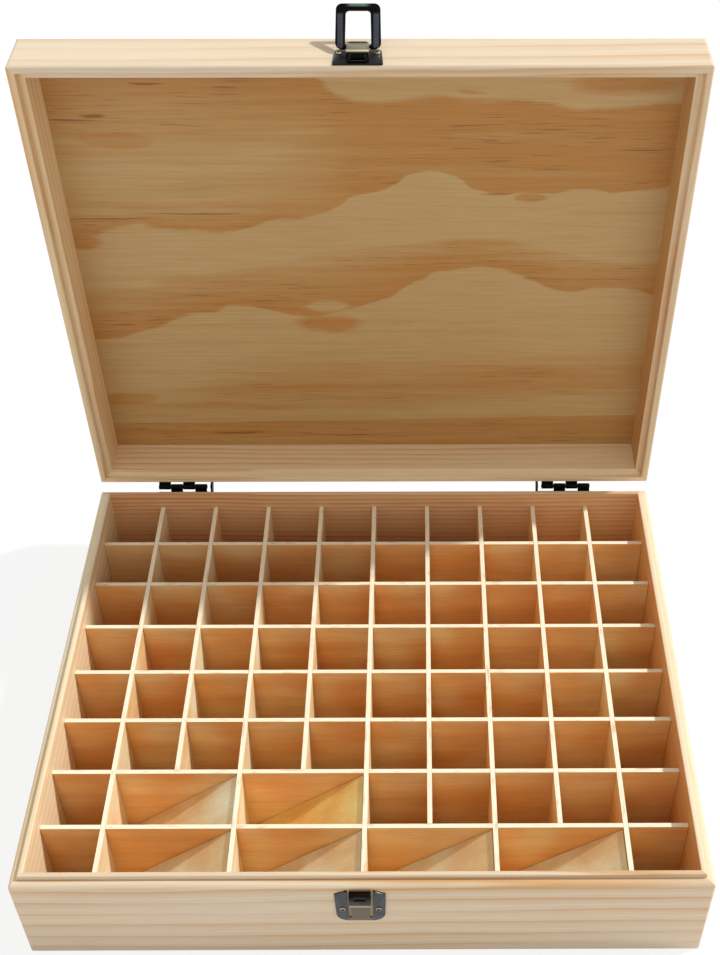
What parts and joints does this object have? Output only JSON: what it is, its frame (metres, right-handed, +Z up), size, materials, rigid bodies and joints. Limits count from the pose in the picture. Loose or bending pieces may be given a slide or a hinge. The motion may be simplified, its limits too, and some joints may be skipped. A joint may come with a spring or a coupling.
{
  "type": "essential oil organizer",
  "caption": "Shallow wooden case with a hinged open lid, a toggle latch and a grid of plywood dividers for small bottles, with sloping ramps in the wide front cells.",
  "frame": {"origin": "centre of the underside that the box stands on", "axes": "+X to the right along the front, +Y to the back where the hinges are, +Z up; the lid stands open"},
  "size_m": [0.335, 0.3109, 0.3549],
  "materials": {
    "pine": "bare, finely sanded pine with straight grain",
    "panel_plywood": "bare plywood with a wavy figure",
    "divider_plywood": "bare thin plywood with pale cut edges",
    "ramp_plywood": "bare thin plywood, grain along the slope",
    "antique_brass": "antiqued, dark in the hollows and rubbed bright on the edges",
    "dark_bronze": "dark bronze, half matt"
  },
  "bodies": {
    "base": {"base_front_wall": "pine", "base_back_wall": "pine", "base_left_wall": "pine", "base_right_wall": "pine", "base_floor_panel": "panel_plywood", "long_divider_1": "divider_plywood", "long_divider_2": "divider_plywood", "long_divider_3": "divider_plywood", "long_divider_4": "divider_plywood", "long_divider_5": "divider_plywood", "long_divider_6": "divider_plywood", "long_divider_7": "divider_plywood", "long_divider_8": "divider_plywood", "long_divider_9": "divider_plywood", "cross_divider_1": "divider_plywood", "cross_divider_2": "divider_plywood", "cross_divider_3": "divider_plywood", "cross_divider_4": "divider_plywood", "cross_divider_5": "divider_plywood", "cross_divider_6": "divider_plywood", "cross_divider_7": "divider_plywood", "ramp_1": "ramp_plywood", "ramp_2": "ramp_plywood", "ramp_3": "ramp_plywood", "ramp_4": "ramp_plywood", "ramp_5": "ramp_plywood", "ramp_6": "ramp_plywood", "left_hinge_base_leaf": "dark_bronze", "right_hinge_base_leaf": "dark_bronze", "left_hinge_pin": "dark_bronze", "right_hinge_pin": "dark_bronze", "hinge_screws_base": "dark_bronze", "latch_strike": "antique_brass", "latch_strike_nails": "antique_brass"},
    "lid": {"lid_front_wall": "pine", "lid_back_wall": "pine", "lid_left_wall": "pine", "lid_right_wall": "pine", "lid_panel": "panel_plywood", "left_hinge_lid_leaf": "dark_bronze", "right_hinge_lid_leaf": "dark_bronze", "hinge_screws_lid": "dark_bronze", "latch_plate": "antique_brass", "latch_lever_pin": "antique_brass", "latch_plate_nails": "antique_brass"},
    "lever": {"latch_lever": "antique_brass"},
    "bail_pin": {"latch_bail_pin": "dark_bronze"},
    "bail": {"latch_bail": "dark_bronze"}
  },
  "joints": [
    {"name": "lid_hinge", "type": "hinge", "parent": "base", "child": "lid", "pos_m": [0, 0.1405, 0.05915], "axis": [1, 0, 0], "range_deg": [0, 88]},
    {"name": "lever_lift", "type": "hinge", "parent": "lid", "child": "lever", "pos_m": [0, 0.13562, 0.34085], "axis": [1, 0, 0], "range_deg": [0, 100]},
    {"name": "bail_pin_turn", "type": "hinge", "parent": "lever", "child": "bail_pin", "pos_m": [0, 0.14424, 0.34035], "axis": [1, 0, 0], "range_deg": [-100, 0]},
    {"name": "bail_swing", "type": "hinge", "parent": "bail_pin", "child": "bail", "pos_m": [0, 0.14424, 0.34035], "axis": [1, 0, 0], "range_deg": [-45, 142.67]}
  ],
  "couplings": [
    {"joint": "bail_pin_turn", "follows": "lever_lift", "ratio": -1}
  ]
}
